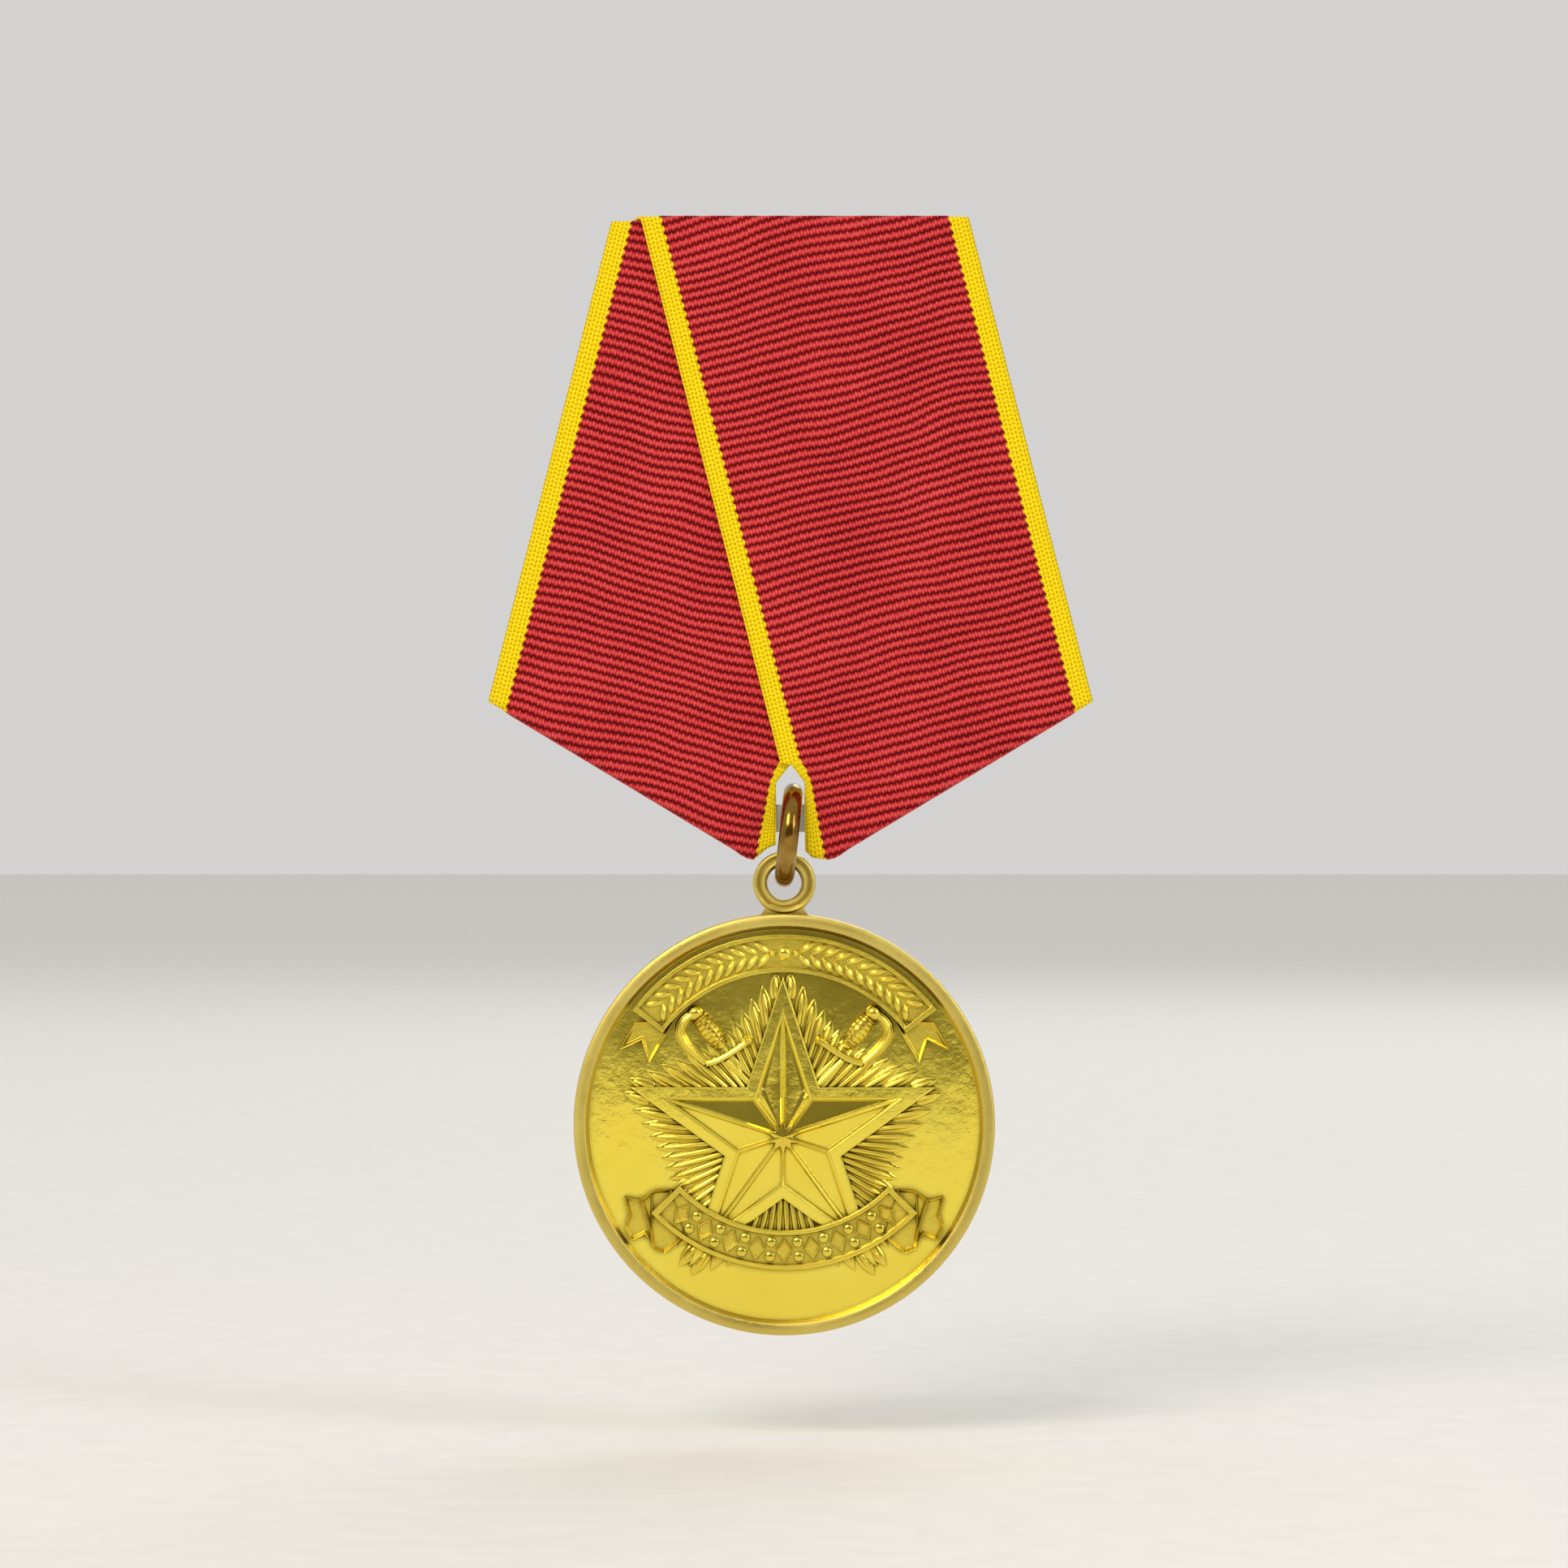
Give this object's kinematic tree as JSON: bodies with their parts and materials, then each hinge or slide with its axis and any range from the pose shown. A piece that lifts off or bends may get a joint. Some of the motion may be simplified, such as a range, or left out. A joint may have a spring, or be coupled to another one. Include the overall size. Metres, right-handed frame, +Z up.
{
  "type": "service medal",
  "caption": "Struck round medal with an eyelet, hung by a jump ring from a ribbon-covered five-sided block with a blunt foot with a hinged pin and a turning catch on its back.",
  "frame": {"origin": "on the needle's axis, halfway across the block", "axes": "+Z up as the medal hangs, -Y is the struck front, +X to the right seen from the front and along the closed needle towards its tip"},
  "size_m": [0.046, 0.0093, 0.0851],
  "materials": {
    "plate": "rolled, matt",
    "ribbon": "ribbed grosgrain with yellow edges",
    "pin_steel": "nickel plated, satin",
    "rivet_brass": "upset, satin",
    "ring_brass": "darkened with handling",
    "medal_brass": "struck, polished field, matt rim"
  },
  "bodies": {
    "block": {"base_plate": "plate", "ribbon_left": "ribbon", "ribbon_right": "ribbon", "back_plate": "plate", "pin_bar": "pin_steel", "pin_bar_rivets": "rivet_brass", "hinge_pin": "rivet_brass", "catch_housing": "pin_steel"},
    "needle": {"needle": "pin_steel"},
    "catch": {"catch_barrel": "pin_steel"},
    "ring": {"jump_ring": "ring_brass"},
    "medal": {"medal_disc": "medal_brass"}
  },
  "joints": [
    {"name": "ring_swing", "type": "hinge", "parent": "block", "child": "ring", "pos_m": [0, -0.0039, -0.0329], "axis": [-1, 0, 0], "range_deg": [-25, 55]},
    {"name": "medal_sway", "type": "hinge", "parent": "ring", "child": "medal", "pos_m": [-0.00048, -0.0039, -0.03744], "axis": [0, -1, 0], "range_deg": [-50, 50]},
    {"name": "needle_swing", "type": "hinge", "parent": "block", "child": "needle", "pos_m": [-0.01225, 0, 0], "axis": [0, 0, 1], "range_deg": [0, 95]},
    {"name": "catch_turn", "type": "hinge", "parent": "block", "child": "catch", "pos_m": [0.01025, 0, 0], "axis": [1, 0, 0], "range_deg": [0, 110]}
  ]
}
